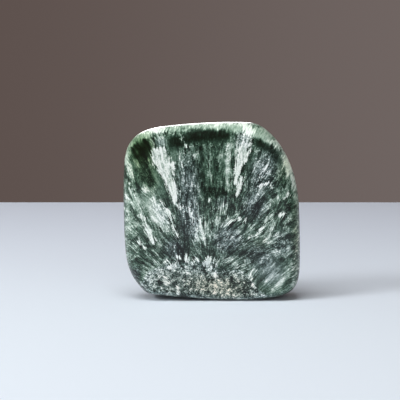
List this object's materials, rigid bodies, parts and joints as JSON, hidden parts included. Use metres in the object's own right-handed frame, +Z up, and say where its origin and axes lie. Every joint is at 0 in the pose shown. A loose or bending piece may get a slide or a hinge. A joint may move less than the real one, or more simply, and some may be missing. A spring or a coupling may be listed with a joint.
{
  "type": "polished mineral plate",
  "caption": "Free-standing polished seraphinite plate: a rounded square slab with one corner cut back, soft ground edges and a small flat foot.",
  "frame": {"origin": "on the surface that the plate stands on, midway between its left and right sides and between its two faces", "axes": "+Z up, +X to the right seen from the front, the show face towards -Y"},
  "size_m": [0.0599, 0.015, 0.06],
  "materials": {
    "seraphinite": "polished, dark green with silvery feathers"
  },
  "bodies": {
    "root": {"seraphinite_plate": "seraphinite"}
  },
  "joints": []
}
